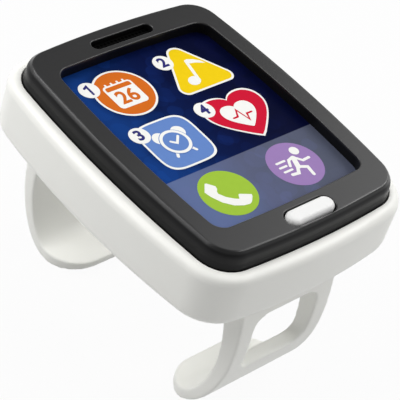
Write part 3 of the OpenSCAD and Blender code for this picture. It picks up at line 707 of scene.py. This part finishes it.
green_ink = ink("green_ink", 163, 200, 66)
purple_ink = ink("purple_ink", 160, 130, 187)
dock_r = 5.8
call = (-8.58, -15.25)
run = (8.92, -15.25)
stamp(layer("call_field", [disc(call, dock_r)], 1), green_ink)
stamp(layer("run_field", [disc(run, dock_r)], 1), purple_ink)
handset = [(-12.67, -13.17), (-11.08, -11.38), (-10.71, -11.5), (-9.63, -12.83), (-9.83, -13.5),
           (-10.38, -14.08), (-10.5, -14.63), (-9.75, -15.88), (-8.5, -17.0), (-7.75, -17.42),
           (-7.17, -16.5), (-6.83, -16.42), (-4.75, -17.54), (-4.92, -17.96), (-6.0, -19.0),
           (-6.71, -19.33), (-8.08, -19.13), (-9.83, -18.29), (-11.33, -16.71), (-12.33, -14.63)]
stamp(layer("call_handset", [rounded(handset, 0.14, 3)], 2), white_ink)
runner = [
    disc((11.29, -12.42), 1.04),
    strip([(9.75, -13.85), (8.9, -16.1)], 1.1),
    strip([(9.95, -13.85), (11.05, -15.2), (12.75, -15.1)], 0.6),
    strip([(9.6, -13.65), (8.38, -13.95), (7.54, -15.3)], 0.6),
    strip([(8.95, -16.1), (10.65, -16.95), (10.33, -19.0)], 0.72),
    strip([(8.75, -16.1), (7.75, -17.5), (6.3, -17.3)], 0.7),
    strip([(5.4, -13.7), (7.45, -13.7)], 0.5),
    strip([(5.2, -14.93), (6.85, -14.93)], 0.5),
    strip([(5.3, -16.15), (7.25, -16.15)], 0.5),
]
stamp(layer("run_figure", runner, 2), white_ink)


# Home button: a glossy white oblong cap that slides in a hole of the bezel. It stands on a rubber
# dome, whose carbon pill closes the contact on the board.

button_white = moulded("button_white_plastic", paint(223, 223, 222), 0.3, 0.8 * mm, 0.003 * mm, 0.01,
                       Specular_IOR_Level=0.3)
dome_rubber = moulded("dome_rubber", (0.5, 0.5, 0.47, 1), 0.6, 0.3 * mm, 0.01 * mm, 0.08)
carbon_rubber = moulded("carbon_rubber", (0.02, 0.02, 0.02, 1), 0.7, 0.2 * mm, 0.02 * mm, 0.3)
button = eased_copy("home_button", "home_button_cap")
fix(button, button_white, "button", "button_white", "home_button")
dress(dome_rubber, "button_dome")
dress(carbon_rubber, "contact_pill")


# Floor, backdrop, lamps and camera: a product picture on white, from above the 9 o'clock and 6 o'clock
# sides. The floor and the low ring round it look white to the camera and in reflections, and light
# the watch as a pale grey paper does.

floor_side = 4
backdrop_r = 1.95
backdrop_h = 0.45
paper_level = 0.57
white_share = 0.95
air_level = 0.3

nothing_selected()
bpy.ops.mesh.primitive_plane_add(size=floor_side, location=(0, 0, 0))
floor = bpy.context.object
floor.name = "studio_floor"
floor_white = bpy.data.materials.new("studio_floor_white")
floor_white.use_nodes = True
floor_tree = floor_white.node_tree
floor_tree.nodes.clear()
paper = floor_tree.nodes.new("ShaderNodeBsdfDiffuse")
paper.inputs["Color"].default_value = (paper_level, paper_level, paper_level, 1)
glow = floor_tree.nodes.new("ShaderNodeEmission")
glow.inputs["Color"].default_value = (1, 1, 1, 1)
glow.inputs["Strength"].default_value = 1.0
ray = floor_tree.nodes.new("ShaderNodeLightPath")
seen = ray.outputs["Is Camera Ray"]
for kind in ("Is Glossy Ray", "Is Transmission Ray"):
    either = floor_tree.nodes.new("ShaderNodeMath")
    either.operation = "MAXIMUM"
    floor_tree.links.new(seen, either.inputs[0])
    floor_tree.links.new(ray.outputs[kind], either.inputs[1])
    seen = either.outputs[0]
share = floor_tree.nodes.new("ShaderNodeMath")
share.operation = "MULTIPLY"
share.inputs[1].default_value = white_share
mixer = floor_tree.nodes.new("ShaderNodeMixShader")
surface = floor_tree.nodes.new("ShaderNodeOutputMaterial")
floor_tree.links.new(seen, share.inputs[0])
floor_tree.links.new(share.outputs[0], mixer.inputs[0])
floor_tree.links.new(paper.outputs[0], mixer.inputs[1])
floor_tree.links.new(glow.outputs[0], mixer.inputs[2])
floor_tree.links.new(mixer.outputs[0], surface.inputs["Surface"])
floor.data.materials.append(floor_white)
nothing_selected()
bpy.ops.mesh.primitive_cylinder_add(vertices=96, radius=backdrop_r, depth=backdrop_h,
                                    end_fill_type="NOTHING", location=(0, 0, backdrop_h / 2))
backdrop = bpy.context.object
backdrop.name = "studio_backdrop"
backdrop.data.materials.append(floor_white)

world = bpy.data.worlds.new("studio_air")
bpy.context.scene.world = world
world.use_nodes = True
air = world.node_tree.nodes["Background"]
air.inputs["Color"].default_value = (1, 1, 1, 1)
air.inputs["Strength"].default_value = air_level


lamps_aim = Vector((0, 0, 0.04))


def lamp(name, place, size, power):
    """A square soft box that faces the watch."""
    data = bpy.data.lights.new(name, "AREA")
    data.shape = "SQUARE"
    data.size = size
    data.energy = power
    made = bpy.data.objects.new(name, data)
    bpy.context.collection.objects.link(made)
    made.location = place
    made.rotation_euler = (lamps_aim - Vector(place)).to_track_quat("-Z", "Y").to_euler()


lamp("top_box", (0.03, 0.3, 0.6), 0.25, 0.66)
lamp("back_box", (0.44, 0.03, 0.42), 0.45, 1.0)
lamp("right_box", (0.53, -0.06, 0.52), 0.25, 1.0)
lamp("left_box", (-0.25, 0.5, 0.45), 0.35, 1.65)
lamp("side_box", (-0.4, 0.27, 0.5), 0.4, 1.4)
lamp("front_box", (0.3, -0.45, 0.6), 0.25, 1.25)

camera_data = bpy.data.cameras.new("camera")
camera_data.lens = 162.29
camera_data.sensor_width = 36
camera = bpy.data.objects.new("camera", camera_data)
bpy.context.collection.objects.link(camera)
camera_place = Vector((-213.456, -156.923, 257.756)) * mm
camera_right = Vector((0.72297, -0.64603, 0.24489))
camera_up = Vector((0.31266, 0.62202, 0.71786))
turned = Matrix((camera_right, camera_up, camera_right.cross(camera_up))).transposed()
camera.matrix_world = Matrix.Translation(camera_place) @ turned.to_4x4()
bpy.context.scene.camera = camera
bpy.context.scene.view_settings.view_transform = "Standard"
